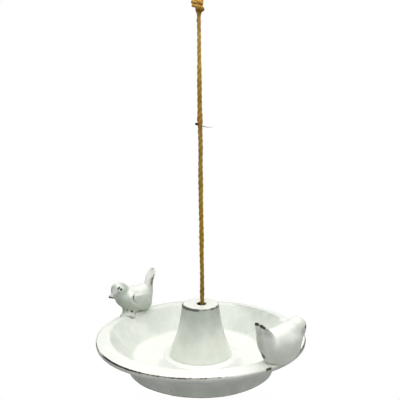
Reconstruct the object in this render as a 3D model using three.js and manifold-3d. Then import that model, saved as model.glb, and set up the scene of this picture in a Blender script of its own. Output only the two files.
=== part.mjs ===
// Hanging bird waterer: a glazed dish with a hollow centre column and two birds on its rim,
// hung on one jute cord that is knotted under the column's top and tied in a loop above.
// Millimetres, +Z up. The origin is the hang point, inside the top of the cord's loop.
import * as THREE from 'three';
import { mergeVertices } from 'three/addons/utils/BufferGeometryUtils.js';
import Module from 'manifold-3d';

// Dish
const RIM_RADIUS = 120;
const RIM_WIDTH = 15.2;
const RIM_RISE = 2; // the rim's inner edge stands this much over its outer edge
const RIM_THICKNESS = 6;
const RIM_EDGE_ROUND = 2;
const RIM_LIP_ROUND = 3;
const BOWL_DEPTH = 28.5;
const FLOOR_RADIUS = 76.6;
const FLOOR_FILLET = 11;
const FLOOR_THICKNESS = 6.5;
const WALL_THICKNESS = 6.5;
const UNDER_RIM_ROUND = 6;
const FOOT_SPREAD = 7.9; // the foot ring's outer side lies this far outside the floor's edge
const FOOT_WIDTH = 9;
const FOOT_HEIGHT = 6.5;
const FOOT_DRAFT = 3.2; // lean of the foot ring's inner side
const FOOT_ROUND = 2.2;
const FOOT_SIDE_ROUND = 9;
const WELL_EDGE_ROUND = 1;

// Column
const COLUMN_HEIGHT = 61.9; // floor to top
const COLUMN_TOP_RADIUS = 20.8;
const COLUMN_WAIST_RADIUS = 27.2;
const COLUMN_WAIST_HEIGHT = 27;
const COLUMN_WAIST_ROUND = 36;
const COLUMN_FOOT_RADIUS = 37.5;
const COLUMN_WALL = 6;
const COLUMN_TOP_THICKNESS = 6.5;
const COLUMN_EDGE_ROUND = 2;
const COLUMN_FOOT_ROUND = 1;
const CEILING_ROUND = 3;
const CORD_HOLE_CLEARANCE = 4.9; // all round the cord
const CORD_HOLE_ROUND = 1;
const CORD_HOLE_LOWER_ROUND = 0.5;

// Birds, along each bird's own forward, left and up directions
const BODY_LENGTH = 46;
const BODY_WIDTH = 32;
const BODY_HEIGHT = 32;
const BODY_CENTRE_HEIGHT = 19.5; // over the rim's outer edge
const BODY_CENTRE_BACK = 1; // behind the middle of the bird's foot
const HEAD_LENGTH = 23;
const HEAD_WIDTH = 21;
const HEAD_HEIGHT = 21.6;
const HEAD_SINK = 2.5; // the head's centre lies this far inside the body's front end
const HEAD_RISE = 12.3; // and this far over the body's centre
const CHEST_LENGTH = 23;
const CHEST_WIDTH = 26;
const CHEST_HEIGHT = 24;
const CHEST_RISE = 2.5;
const BEAK_LENGTH = 7;
const BEAK_RADIUS = 4;
const BEAK_TIP_RADIUS = 0.6;
const BEAK_SINK = 2; // the beak's root lies this far inside the head's front
const BEAK_DROP = 4.3; // the beak's root lies this far under the head's centre
const BEAK_PITCH = 21; // degrees below level
const TAIL_TIP_HEIGHT = 52;
const TAIL_TIP_BACK = 3; // behind the body's rear end
const TAIL_TIP_WIDTH = 19;
const TAIL_TIP_THICKNESS = 6;
const TAIL_ROOT_HEIGHT = 4;
const TAIL_ROOT_WIDTH = 20;
const TAIL_ROOT_THICKNESS = 18;
const WING_LENGTH = 30;
const WING_HEIGHT = 19;
const WING_THICKNESS = 9;
const WING_PROUD = 1.6; // how far a wing stands out of the body's side
const PEDESTAL_LENGTH = 32;
const PEDESTAL_WIDTH = 25;
const PEDESTAL_FLARE = 4.2; // foot to neck
const PEDESTAL_SINK = 6.5; // how far the pedestal's neck reaches up into the body
const PEDESTAL_ROOT = 5; // how far its clay reaches down over the rim's lip
const BIRD_OVERHANG = 1; // how far a bird's foot may hang down past the rim's edge
const BIRDS = [
  { name: 'bird_left', radiusOut: 0, angle: 138.6, heading: 208, pitch: 0 },
  { name: 'bird_right', radiusOut: 2.6, angle: 316.8, heading: 30, pitch: 7 },
];

// Cord, loop and knots
const CORD_DIAMETER = 4.4;
const HANG_HEIGHT = 415; // rim's outer edge to the hang point
const LOOP_HEIGHT = 42; // inside, from the loop's root to the hang point
const LOOP_WIDTH = 24; // across the middle of the cord
const LOOP_ARC_DIP = 20; // degrees that the loop's round runs on below its widest place
const LOOP_ARC_POINTS = 9;
const TOP_KNOT_HEIGHT = 16;
const TOP_KNOT_WALL = 1.6; // around the loop's root
const STOP_KNOT_COVER = 2.9; // how much wider than the cord hole the stop knot is, all round
const WRAP_PROUD = 0.4; // how far a knot's wraps stand out of its core
// How far the hanging cord strays from the plumb line, [right, back], at even heights from the
// stop knot up to the top knot.
const CORD_SWAY = [
  [0.9, 0], [1.4, 0.1], [1.5, 0.2], [1.3, -0.1], [1.1, -0.3], [0.9, 0], [0.8, 0.3], [0.4, 0.2], [0.2, -0.2],
  [0, -0.3], [-0.2, 0], [-0.5, 0.3], [-0.8, 0.2], [-1.0, -0.1], [-1.2, -0.2], [-1.2, 0], [0, 0],
];
// The two cord ends, from where each leaves its knot, [right, back, up]
const CORD_TAIL = [[0, 0, 0], [0.2, -0.2, -9], [0.8, -0.9, -18]];
const LOOP_TAIL = [[0, 0, 0], [0, 2.2, 0], [0.2, 5, -2.2], [0.6, 7.4, -6], [0.8, 8.1, -11.2]];

const GAP = 0.3; // between pieces that touch
const WELD = 1e-4;
const DISH_SIDES = 48;
const COLUMN_SIDES = 32;
const BALL_SIDES = 16;
const BALL_RINGS = 10;
const CORD_SIDES = 10;
const CORD_STEP = 2.6 * CORD_DIAMETER;
const CURVE_STEPS = 3; // straight stretches to a rounded corner
const ROUND_LIMIT = 0.48; // the most of a side that the round of one corner may take

// Heights over the rim's outer top edge
const RIM_INNER_RADIUS = RIM_RADIUS - RIM_WIDTH;
const FLOOR = RIM_RISE - BOWL_DEPTH;
const UNDERSIDE = FLOOR - FLOOR_THICKNESS;
const BASE = UNDERSIDE - FOOT_HEIGHT;
const COLUMN_SEAT = FLOOR + GAP;
const COLUMN_TOP = FLOOR + COLUMN_HEIGHT;
const CEILING = COLUMN_TOP - COLUMN_TOP_THICKNESS;
const FOOT_RADIUS = FLOOR_RADIUS + FOOT_SPREAD;
const WELL_RADIUS = COLUMN_FOOT_RADIUS - COLUMN_WALL;
const CORD_RADIUS = CORD_DIAMETER / 2;
const CORD_HOLE_RADIUS = CORD_RADIUS + CORD_HOLE_CLEARANCE;
// The stop knot is a ball drawn up against the lower edge of the cord hole.
const STOP_KNOT_RADIUS = CORD_HOLE_RADIUS + STOP_KNOT_COVER;
const STOP_KNOT_CENTRE = CEILING - Math.sqrt((STOP_KNOT_RADIUS + GAP) ** 2 - CORD_HOLE_RADIUS ** 2);
// The loop's root, where its two legs lie side by side, is held in the top knot.
const LOOP_ROOT = HANG_HEIGHT - LOOP_HEIGHT;
const LOOP_ROOT_RADIUS = CORD_DIAMETER + GAP;
const TOP_KNOT_FOOT = LOOP_ROOT - TOP_KNOT_HEIGHT;
const TOP_KNOT_RADIUS = LOOP_ROOT_RADIUS + GAP + TOP_KNOT_WALL;
const wrapRadius = (knotRadius) => knotRadius + WRAP_PROUD - CORD_RADIUS;

const wasm = await Module();
wasm.setup();

// Turns a closed geometry into a solid that can be joined and cut.
function solid(geometry) {
  const bare = geometry.clone();
  bare.deleteAttribute('normal');
  bare.deleteAttribute('uv');
  const merged = mergeVertices(bare, WELD);
  const index = merged.index.array;
  const triVerts = [];
  for (let i = 0; i < index.length; i += 3) {
    const [a, b, c] = [index[i], index[i + 1], index[i + 2]];
    if (a !== b && b !== c && c !== a) triVerts.push(a, b, c);
  }
  return new wasm.Manifold(new wasm.Mesh({
    numProp: 3,
    vertProperties: new Float32Array(merged.attributes.position.array),
    triVerts: new Uint32Array(triVerts),
  }));
}

function geometryOf(body) {
  const mesh = body.getMesh();
  const geometry = new THREE.BufferGeometry();
  const vertices = new Float32Array(mesh.vertProperties);
  geometry.setAttribute('position', new THREE.BufferAttribute(vertices, 3));
  geometry.setIndex(new THREE.BufferAttribute(new Uint32Array(mesh.triVerts), 1));
  geometry.computeVertexNormals();
  return geometry;
}

function join(geometries) {
  return geometries.map(solid).reduce((whole, next) => whole.add(next));
}

// A closed outline through corners [radius, height, round], each corner eased by its round.
function outline(corners) {
  const path = new THREE.Path();
  corners.forEach(([r, z, round = 0], i) => {
    const corner = new THREE.Vector2(r, z);
    const [before, after] = [corners.at(i - 1), corners[(i + 1) % corners.length]];
    const toBefore = new THREE.Vector2(before[0], before[1]).sub(corner);
    const toAfter = new THREE.Vector2(after[0], after[1]).sub(corner);
    const halfAngle = Math.acos(toBefore.dot(toAfter) / (toBefore.length() * toAfter.length())) / 2;
    const shortSide = Math.min(toBefore.length(), toAfter.length());
    const reach = Math.min(round / Math.tan(halfAngle), shortSide * ROUND_LIMIT);
    const start = corner.clone().addScaledVector(toBefore.normalize(), reach);
    const end = corner.clone().addScaledVector(toAfter.normalize(), reach);
    if (i === 0) path.moveTo(start.x, start.y);
    else path.lineTo(start.x, start.y);
    if (reach > 0) path.quadraticCurveTo(r, z, end.x, end.y);
  });
  path.closePath();
  return path.getPoints(CURVE_STEPS);
}

// Turns an outline, walked counter-clockwise in radius and height, about the Z axis.
function turned(corners, sides) {
  return new THREE.LatheGeometry(outline(corners), sides).rotateX(Math.PI / 2);
}

// A ball of one diameter, or with a length, width and height.
function ball(size, centre) {
  const lengths = Array.isArray(size) ? size : [size, size, size];
  const geometry = new THREE.SphereGeometry(1, BALL_SIDES, BALL_RINGS).rotateX(Math.PI / 2);
  return geometry.scale(...lengths.map((length) => length / 2)).translate(...centre);
}

// A round cord along points, with flat ends.
function cordAlong(points, step = CORD_STEP) {
  const curve = new THREE.CatmullRomCurve3(points.map((p) => new THREE.Vector3(...p)));
  const section = new THREE.Shape().absarc(0, 0, CORD_RADIUS, 0, 2 * Math.PI);
  const steps = Math.ceil(curve.getLength() / step);
  return new THREE.ExtrudeGeometry(section, {
    steps,
    curveSegments: CORD_SIDES / 2,
    extrudePath: curve,
  });
}

// One turn of cord round a knot, leaning by two angles in degrees.
function wrap(knotRadius, height, tiltX, tiltY) {
  const geometry = new THREE.TorusGeometry(wrapRadius(knotRadius), CORD_RADIUS, CORD_SIDES, BALL_SIDES);
  geometry.rotateX(THREE.MathUtils.degToRad(tiltX));
  geometry.rotateY(THREE.MathUtils.degToRad(tiltY));
  return geometry.translate(0, 0, height);
}

// The dish: floor, sloping wall and broad rim, on a foot ring, with a well under the column.
function dish() {
  const slope = new THREE.Vector2(RIM_INNER_RADIUS - FLOOR_RADIUS, RIM_RISE - FLOOR);
  const outward = WALL_THICKNESS / (slope.y / slope.length());
  const wallRadius = (z) => FLOOR_RADIUS + outward + (slope.x * (z - FLOOR)) / slope.y;
  const wallFoot = FLOOR + ((FOOT_RADIUS - FLOOR_RADIUS - outward) * slope.y) / slope.x;
  return turned([
    [WELL_RADIUS, UNDERSIDE, WELL_EDGE_ROUND],
    [FOOT_RADIUS - FOOT_WIDTH - FOOT_DRAFT, UNDERSIDE, FOOT_ROUND],
    [FOOT_RADIUS - FOOT_WIDTH, BASE, FOOT_ROUND],
    [FOOT_RADIUS, BASE, FOOT_ROUND],
    [FOOT_RADIUS, wallFoot, FOOT_SIDE_ROUND],
    [wallRadius(-RIM_THICKNESS), -RIM_THICKNESS, UNDER_RIM_ROUND],
    [RIM_RADIUS, -RIM_THICKNESS, RIM_EDGE_ROUND],
    [RIM_RADIUS, 0, RIM_EDGE_ROUND],
    [RIM_INNER_RADIUS, RIM_RISE, RIM_LIP_ROUND],
    [FLOOR_RADIUS, FLOOR, FLOOR_FILLET],
    [WELL_RADIUS, FLOOR],
  ], DISH_SIDES);
}

// The column: a hollow bell, open below, with the cord hole through its top.
function column() {
  const waist = COLUMN_SEAT + COLUMN_WAIST_HEIGHT;
  return turned([
    [WELL_RADIUS, COLUMN_SEAT],
    [COLUMN_FOOT_RADIUS, COLUMN_SEAT, COLUMN_FOOT_ROUND],
    [COLUMN_WAIST_RADIUS, waist, COLUMN_WAIST_ROUND],
    [COLUMN_TOP_RADIUS, COLUMN_TOP, COLUMN_EDGE_ROUND],
    [CORD_HOLE_RADIUS, COLUMN_TOP, CORD_HOLE_ROUND],
    [CORD_HOLE_RADIUS, CEILING, CORD_HOLE_LOWER_ROUND],
    [COLUMN_TOP_RADIUS - COLUMN_WALL, CEILING, CEILING_ROUND],
    [COLUMN_WAIST_RADIUS - COLUMN_WALL, waist, COLUMN_WAIST_ROUND],
  ], COLUMN_SIDES);
}

// Everything that a bird may not fill: the rim and bowl with the gap, and the space past the rim.
function rimCutter() {
  const reach = RIM_RADIUS + BODY_LENGTH + TAIL_TIP_HEIGHT;
  return turned([
    [0, BASE],
    [reach, BASE],
    [reach, -BIRD_OVERHANG],
    [RIM_RADIUS + GAP, -BIRD_OVERHANG],
    [RIM_RADIUS + GAP, GAP, RIM_EDGE_ROUND / 2],
    [RIM_INNER_RADIUS - GAP, RIM_RISE + GAP, RIM_LIP_ROUND],
    [FLOOR_RADIUS - GAP, FLOOR + GAP],
    [0, FLOOR + GAP],
  ], DISH_SIDES);
}

// A fan-shaped tail: a ball drawn out from the rump to the tip, blunt at both ends.
function tail(rumpBack, tipBack) {
  const geometry = new THREE.SphereGeometry(1, BALL_SIDES, BALL_RINGS).rotateX(Math.PI / 2);
  const position = geometry.attributes.position;
  for (let i = 0; i < position.count; i += 1) {
    const [x, y, z] = [position.getX(i), position.getY(i), position.getZ(i)];
    const share = (z + 1) / 2;
    const blunt = Math.sqrt(1 + z * z) / 2;
    const thickness = THREE.MathUtils.lerp(TAIL_ROOT_THICKNESS, TAIL_TIP_THICKNESS, share);
    const width = THREE.MathUtils.lerp(TAIL_ROOT_WIDTH, TAIL_TIP_WIDTH, share);
    position.setXYZ(
      i,
      -THREE.MathUtils.lerp(rumpBack, tipBack, share) + x * blunt * thickness,
      y * blunt * width,
      THREE.MathUtils.lerp(TAIL_ROOT_HEIGHT, TAIL_TIP_HEIGHT, share),
    );
  }
  return geometry;
}

// A flared pedestal, oval in plan, that the bird is stuck to the rim with.
function pedestal() {
  const foot = PEDESTAL_LENGTH / 2;
  const neck = foot - PEDESTAL_FLARE;
  const top = BODY_CENTRE_HEIGHT - BODY_HEIGHT / 2 + PEDESTAL_SINK;
  const profile = new THREE.Path().moveTo(0, -PEDESTAL_ROOT).lineTo(foot, -PEDESTAL_ROOT).lineTo(foot, 0);
  profile.quadraticCurveTo(neck, top / 4, neck, top).lineTo(0, top);
  const geometry = new THREE.LatheGeometry(profile.getPoints(CURVE_STEPS), BALL_SIDES).rotateX(Math.PI / 2);
  return geometry.scale(1, PEDESTAL_WIDTH / PEDESTAL_LENGTH, 1);
}

// One bird, its head to +X, standing on the middle of its pedestal.
function bird() {
  const front = BODY_LENGTH / 2 - BODY_CENTRE_BACK;
  const rear = BODY_LENGTH / 2 + BODY_CENTRE_BACK;
  const headAt = [front - HEAD_SINK, 0, BODY_CENTRE_HEIGHT + HEAD_RISE];
  const chestAt = [front - CHEST_LENGTH / 2 + HEAD_SINK / 2, 0, BODY_CENTRE_HEIGHT + CHEST_RISE];
  const beakRoot = BEAK_RADIUS; // inside the head
  const beak = new THREE.CylinderGeometry(BEAK_TIP_RADIUS, BEAK_RADIUS, BEAK_LENGTH + beakRoot, CORD_SIDES);
  beak.translate(0, (BEAK_LENGTH - beakRoot) / 2, 0);
  beak.rotateZ(-Math.PI / 2);
  beak.rotateY(THREE.MathUtils.degToRad(BEAK_PITCH));
  beak.translate(headAt[0] + HEAD_LENGTH / 2 - BEAK_SINK, 0, headAt[2] - BEAK_DROP);
  const wings = [-1, 1].map((side) => ball(
    [WING_LENGTH, WING_THICKNESS, WING_HEIGHT],
    [-BODY_CENTRE_BACK, side * (BODY_WIDTH / 2 + WING_PROUD - WING_THICKNESS / 2), BODY_CENTRE_HEIGHT],
  ));
  return join([
    ball([BODY_LENGTH, BODY_WIDTH, BODY_HEIGHT], [-BODY_CENTRE_BACK, 0, BODY_CENTRE_HEIGHT]),
    ball([CHEST_LENGTH, CHEST_WIDTH, CHEST_HEIGHT], chestAt),
    ball([HEAD_LENGTH, HEAD_WIDTH, HEAD_HEIGHT], headAt),
    beak,
    tail(rear - TAIL_ROOT_THICKNESS / 2, rear + TAIL_TIP_BACK - TAIL_TIP_THICKNESS / 2),
    pedestal(),
    ...wings,
  ]);
}

// Sets a bird on the rim: tipped nose-up about its middle, turned to its heading, foot cut to the rim.
function birdOnRim({ radiusOut, angle, heading, pitch }) {
  const radians = THREE.MathUtils.degToRad;
  const radius = RIM_RADIUS - RIM_WIDTH / 2 + radiusOut;
  const lift = BODY_CENTRE_HEIGHT;
  const geometry = geometryOf(bird()).translate(0, 0, -lift);
  geometry.rotateY(-radians(pitch)).translate(0, 0, lift);
  geometry.rotateZ(radians(heading));
  geometry.translate(radius * Math.cos(radians(angle)), radius * Math.sin(radians(angle)), 0);
  return solid(geometry).subtract(solid(rimCutter()));
}

// The free stretch of cord, from the stop knot up to a rounded end in the foot of the top knot.
function hangingCord() {
  const bottom = STOP_KNOT_CENTRE + STOP_KNOT_RADIUS + GAP;
  const last = CORD_SWAY.length - 1;
  const height = (i) => THREE.MathUtils.lerp(bottom, TOP_KNOT_FOOT, i / last);
  const points = CORD_SWAY.map(([x, y], i) => [x, y, height(i)]);
  return join([cordAlong(points), ball(CORD_DIAMETER, points[last])]);
}

// The loop that goes over a hook: two legs out of the root, joined by a round at the top.
function hangingLoop() {
  const radius = LOOP_WIDTH / 2;
  const centre = HANG_HEIGHT + CORD_RADIUS - radius;
  const round = Array.from({ length: LOOP_ARC_POINTS }, (_, i) => {
    const share = i / (LOOP_ARC_POINTS - 1);
    const angle = THREE.MathUtils.degToRad(THREE.MathUtils.lerp(180 + LOOP_ARC_DIP, -LOOP_ARC_DIP, share));
    return [radius * Math.cos(angle), 0, centre + radius * Math.sin(angle)];
  });
  const legAt = CORD_RADIUS + GAP / 2;
  const tube = cordAlong([[-legAt, 0, LOOP_ROOT], ...round, [legAt, 0, LOOP_ROOT]], CORD_DIAMETER);
  return join([tube, ball(2 * LOOP_ROOT_RADIUS, [0, 0, LOOP_ROOT])]);
}

// The top knot, tied round the loop's root, with a hollow for the root and one for the cord's end.
function topKnot() {
  const middle = (TOP_KNOT_FOOT + LOOP_ROOT) / 2;
  const core = turned([
    [0, TOP_KNOT_FOOT],
    [CORD_DIAMETER, TOP_KNOT_FOOT, CORD_RADIUS],
    [TOP_KNOT_RADIUS, middle, TOP_KNOT_HEIGHT],
    [TOP_KNOT_RADIUS, LOOP_ROOT],
    [0, LOOP_ROOT],
  ], BALL_SIDES);
  const knot = join([
    core,
    wrap(TOP_KNOT_RADIUS, middle - CORD_RADIUS / 2, 8, 30),
    wrap(TOP_KNOT_RADIUS, middle, -14, 18),
  ]);
  const rootHollow = ball(2 * (LOOP_ROOT_RADIUS + GAP), [0, 0, LOOP_ROOT]);
  const cordHollow = ball(CORD_DIAMETER + 2 * GAP, [0, 0, TOP_KNOT_FOOT]);
  return knot.subtract(solid(rootHollow)).subtract(solid(cordHollow));
}

// The stop knot, too big for the cord hole.
function stopKnot() {
  return join([
    ball(2 * STOP_KNOT_RADIUS, [0, 0, STOP_KNOT_CENTRE]),
    wrap(STOP_KNOT_RADIUS, STOP_KNOT_CENTRE - CORD_DIAMETER, 12, 20),
    wrap(STOP_KNOT_RADIUS, STOP_KNOT_CENTRE - CORD_RADIUS, -10, -14),
  ]);
}

// A short end of cord, from where it leaves its knot.
function cordEnd(start, points) {
  return cordAlong(points.map((point) => point.map((value, i) => start[i] + value)), CORD_DIAMETER);
}

// The cord's lower end, hanging out of the stop knot inside the column.
function cordTail() {
  return cordEnd([0, 0, STOP_KNOT_CENTRE - STOP_KNOT_RADIUS - GAP], CORD_TAIL);
}

// The cord's other end, drooping from the back of the top knot.
function loopTail() {
  const back = TOP_KNOT_RADIUS + WRAP_PROUD + GAP;
  return cordEnd([0, back, TOP_KNOT_FOOT + TOP_KNOT_HEIGHT / 2], LOOP_TAIL);
}

const glaze = { color: 0xe6e7e1, roughness: 0.22, metalness: 0 };
const jute = { color: 0x95793c, roughness: 0.9, metalness: 0 };

const assembly = new THREE.Group();
assembly.position.z = -HANG_HEIGHT;

function addPiece(name, body, finish) {
  const mesh = new THREE.Mesh(geometryOf(body), new THREE.MeshStandardMaterial(finish));
  mesh.name = name;
  assembly.add(mesh);
}

addPiece('dish', solid(dish()), glaze);
addPiece('column', solid(column()), glaze);
BIRDS.forEach((place) => addPiece(place.name, birdOnRim(place), glaze));
addPiece('hanging_cord', hangingCord(), jute);
addPiece('hanging_loop', hangingLoop(), jute);
addPiece('top_knot', topKnot(), jute);
addPiece('loop_tail', solid(loopTail()), jute);
addPiece('stop_knot', stopKnot(), jute);
addPiece('cord_tail', solid(cordTail()), jute);

const waterer = new THREE.Group();
waterer.add(assembly);

export default waterer;
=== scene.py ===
import math
import random

import bpy
from mathutils import Euler, Matrix, Vector, noise


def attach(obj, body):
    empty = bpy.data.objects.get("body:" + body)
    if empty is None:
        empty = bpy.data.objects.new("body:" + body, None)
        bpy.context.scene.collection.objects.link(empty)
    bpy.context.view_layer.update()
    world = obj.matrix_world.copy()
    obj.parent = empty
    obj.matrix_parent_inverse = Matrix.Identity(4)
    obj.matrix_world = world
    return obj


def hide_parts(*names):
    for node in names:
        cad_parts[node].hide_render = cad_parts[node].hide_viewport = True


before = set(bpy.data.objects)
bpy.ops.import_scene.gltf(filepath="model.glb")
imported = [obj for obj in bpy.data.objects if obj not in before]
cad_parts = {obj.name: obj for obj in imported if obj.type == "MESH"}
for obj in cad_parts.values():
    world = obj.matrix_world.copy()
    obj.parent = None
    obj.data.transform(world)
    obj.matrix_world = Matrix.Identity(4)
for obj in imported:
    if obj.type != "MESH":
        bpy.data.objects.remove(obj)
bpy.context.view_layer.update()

# Camera. The photograph looks a little down on the dish from straight in front, from about
# 0.7 m away, with the top knot just under the upper edge of the frame.
LENS = 56.29
CAMERA_AT = (-0.00017, -0.6918, -0.15264)
LOOKS_DOWN = 8.781  # degrees
LEANS = -0.18  # degrees that the picture is turned


def add_object(name, data):
    piece = bpy.data.objects.new(name, data)
    bpy.context.scene.collection.objects.link(piece)
    return piece


camera_data = bpy.data.cameras.new("camera")
camera_data.lens = LENS
camera = add_object("camera", camera_data)
look_down = Euler((math.radians(90 - LOOKS_DOWN), 0, 0)).to_matrix()
lean = Matrix.Rotation(math.radians(LEANS), 3, "Z")
camera.matrix_world = Matrix.Translation(CAMERA_AT) @ (look_down @ lean).to_4x4()
bpy.context.scene.camera = camera
bpy.context.scene.view_settings.view_transform = "Standard"

# Hanging cord. Three loose strands of golden-brown jute twisted into a twine about 4 mm thick,
# uneven from the spinning, with a few thick slubs. It runs from the stop knot inside the column
# up to the top knot, and the dish's weight pulls it straight.
MM = 0.001
RIM_TO_HANG = 415  # mm from the rim's outer edge up to the point that the loop hangs from
CORD_DIAMETER = 4.4
CORD_LAY = 21  # mm along the cord for one turn of a strand
CORD_STEP = 0.8  # mm from one ring of a strand to the next
CORD_FOOT = 31.738  # mm over the rim, where the cord leaves the stop knot
CORD_HEAD = 357  # and where it runs into the top knot
CORD_HIDDEN = 4  # mm of the cord inside each knot
STRANDS = 3
STRAND_OUT = 0.35  # how far out a strand's middle lies, in radii of the cord
STRAND_GIRTH = 0.66  # a strand's radius, in radii of the cord
# How far the cord strays to the right and back, in mm, at even steps from its foot to its head
CORD_SWAY = [
    (1.8, 0), (1.9, 0.1), (1.9, 0.2), (1.5, -0.1), (1.5, -0.3), (1.2, 0), (0.8, 0.3), (0.7, 0.2), (0.5, -0.2),
    (0.7, -0.3), (0.2, 0), (-0.1, 0.3), (-0.3, 0.2), (-0.4, -0.1), (-0.55, -0.2), (-0.6, 0), (-0.9, 0),
]
# Thick and rusty places of the cord: height over the rim, half length along it, what they add
CORD_SLUBS = [
    (282, 16, 0.12), (257, 12, 0.1), (244, 6.5, 0.34), (215, 20, 0.08), (176, 14, 0.16), (150, 20, 0.08),
    (113, 12, 0.16), (50, 8, 0.08),
]
CORD_RUSTY = [(244, 8, 0.85), (352, 9, 0.5)]
CORD_SLACKENS = (312, 300)  # mm between which the cord grows looser and thicker downwards
# Colours of dark to pale fibres, and what the cord's colour is multiplied by from its head down
STRAW = [
    (0.3, (0.26, 0.16, 0.022)), (0.45, (0.53, 0.36, 0.052)), (0.56, (0.71, 0.52, 0.12)),
    (0.72, (0.86, 0.68, 0.27)),
]
RUST = [
    (0.3, (0.32, 0.15, 0.02)), (0.46, (0.6, 0.34, 0.07)), (0.58, (0.79, 0.49, 0.16)),
    (0.74, (0.92, 0.65, 0.31)),
]
CORD_TONE_DOWNWARDS = [
    (0.0, (1.0, 1.0, 1.0)), (0.024, (1.2, 1.12, 1.3)), (0.035, (0.95, 0.9, 0.75)),
    (0.046, (0.58, 0.53, 0.33)), (0.06, (0.92, 0.93, 0.92)), (0.197, (0.94, 0.94, 1.0)),
    (0.326, (0.75, 0.69, 0.6)), (0.647, (0.75, 0.71, 0.48)), (0.88, (0.67, 0.64, 0.38)),
    (0.959, (0.48, 0.46, 0.18)),
]


def hung(point):
    """A place in millimetres over the rim, in the frame of the hang point."""
    return Vector((point[0] * MM, point[1] * MM, (point[2] - RIM_TO_HANG) * MM))


def over_rim(place):
    """The height of a place over the rim in millimetres."""
    return place.z / MM + RIM_TO_HANG


def share_of(value, start, end):
    """How far a value has come from start to end, from 0 to 1."""
    return min(1, max(0, (value - start) / (end - start)))


def adds_up(height, places):
    """What the thick or rusty places of the cord add at a height."""
    return sum(more * math.exp(-((height - at) / reach) ** 2) for at, reach, more in places)


def smooth_route(points, step):
    """Places an even step apart along a smooth curve through the given ones."""
    cuts = 30
    fine = []
    for i in range(len(points) - 1):
        here, there = points[i], points[i + 1]
        before = points[i - 1] if i else 2 * here - there
        after = points[i + 2] if i + 2 < len(points) else 2 * there - here
        for k in range(cuts):
            t = k / cuts
            square = (2 * before - 5 * here + 4 * there - after) * t * t
            cube = (3 * here - before - 3 * there + after) * t ** 3
            fine.append(0.5 * (2 * here + (there - before) * t + square + cube))
    fine.append(points[-1])
    runs = [0.0]
    for here, there in zip(fine, fine[1:]):
        runs.append(runs[-1] + (there - here).length)
    count = max(2, round(runs[-1] / step))
    route = []
    at = 0
    for i in range(count + 1):
        run = runs[-1] * i / count
        while at < len(fine) - 2 and runs[at + 1] < run:
            at += 1
        share = (run - runs[at]) / max(runs[at + 1] - runs[at], 1e-12)
        route.append(fine[at].lerp(fine[at + 1], min(share, 1)))
    return route


def laid(points, step=CORD_STEP):
    """The route of a cord that is laid through places in millimetres."""
    return smooth_route([hung(p) for p in points], step * MM)


def route_length(route):
    return sum((there - here).length for here, there in zip(route, route[1:]))


def frames_along(route):
    """Two directions across the route at each of its places, turning no more than it bends."""
    last = len(route) - 1
    side = None
    frames = []
    for i in range(last + 1):
        ahead = (route[min(i + 1, last)] - route[max(i - 1, 0)]).normalized()
        side = ahead.orthogonal() if side is None else side
        side = (side - ahead * side.dot(ahead)).normalized()
        frames.append((side, ahead.cross(side), ahead))
    return frames


def spoke(side, up, angle):
    """The direction at an angle round a route."""
    return side * math.cos(angle) + up * math.sin(angle)


def new_twine():
    return {"points": [], "faces": [], "fibre": [], "tint": [], "lay_shade_and_dark": []}


def add_tube(twine, rings, fibres, tints, lay_shades_and_dark):
    """A closed tube over rings of points, with its fibre map, tint and painted shade of the lay."""
    first = len(twine["points"])
    sides = len(rings[0])
    for ring, fibre, tint, lay_shade_and_dark in zip(rings, fibres, tints, lay_shades_and_dark):
        twine["points"] += ring
        twine["fibre"] += fibre
        twine["tint"] += [tint] * sides
        twine["lay_shade_and_dark"] += lay_shade_and_dark
    for i in range(len(rings) - 1):
        for k in range(sides):
            near, far = first + i * sides, first + (i + 1) * sides
            turn = (k + 1) % sides
            twine["faces"].append((near + k, near + turn, far + turn, far + k))
    twine["faces"].append(tuple(first + k for k in reversed(range(sides))))
    twine["faces"].append(tuple(first + (len(rings) - 1) * sides + k for k in range(sides)))


def add_strands(twine, route, thickness, tint, turn=0.0):
    """Three strands laid round a route. thickness and tint are given each place of the route."""
    frames = frames_along(route)
    step = route_length(route) / (len(route) - 1)
    sides = 12
    for strand in range(STRANDS):
        rings, fibres, tints, lay_shades_and_dark = [], [], [], []
        for i, (place, (side, up, _)) in enumerate(zip(route, frames)):
            run = i * step
            angle = turn + math.tau * (strand / STRANDS + run / (CORD_LAY * MM))
            out = spoke(side, up, angle)
            across = up * math.cos(angle) - side * math.sin(angle)
            radius = thickness(place) / 2
            centre = place + out * radius * STRAND_OUT
            ring, fibre, lay_shade_and_dark = [], [], []
            for k in range(sides):
                round_it = math.tau * k / sides
                rough = 1 + 0.1 * noise.noise(Vector((run * 420, k * 0.9, strand * 7.1 + turn)))
                off = across * math.sin(round_it) - out * math.cos(round_it)
                ring.append(centre + off * radius * STRAND_GIRTH * rough)
                lies = round_it * radius * STRAND_GIRTH / MM + 0.3 * run / MM + strand * 9
                fibre.append((run / MM, lies))
                # Painted shade: darker on the side of each strand that faces the cord's middle.
                lay_shade_and_dark.append(0.5 + 0.5 * math.cos(round_it))
            rings.append(ring)
            fibres.append(fibre)
            tints.append(tint(place))
            lay_shades_and_dark.append(lay_shade_and_dark)
        add_tube(twine, rings, fibres, tints, lay_shades_and_dark)


def add_fibre(twine, places, radius, tint, depth=0.1):
    """One loose fibre: a thin three-sided tube that tapers towards its far end."""
    # depth goes into the painted shade of the lay; above 1.2 it makes a dark fibre.
    sides = 3
    angles = [math.tau * k / sides for k in range(sides)]
    rings, fibres = [], []
    for i, (place, (side, up, _)) in enumerate(zip(places, frames_along(places))):
        thin = radius * (1 - 0.75 * i / (len(places) - 1))
        rings.append([place + spoke(side, up, angle) * thin for angle in angles])
        fibres.append([(i * 2.0, angle + radius / MM * 40) for angle in angles])
    add_tube(twine, rings, fibres, [tint] * len(places), [[depth] * sides] * len(places))


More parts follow.
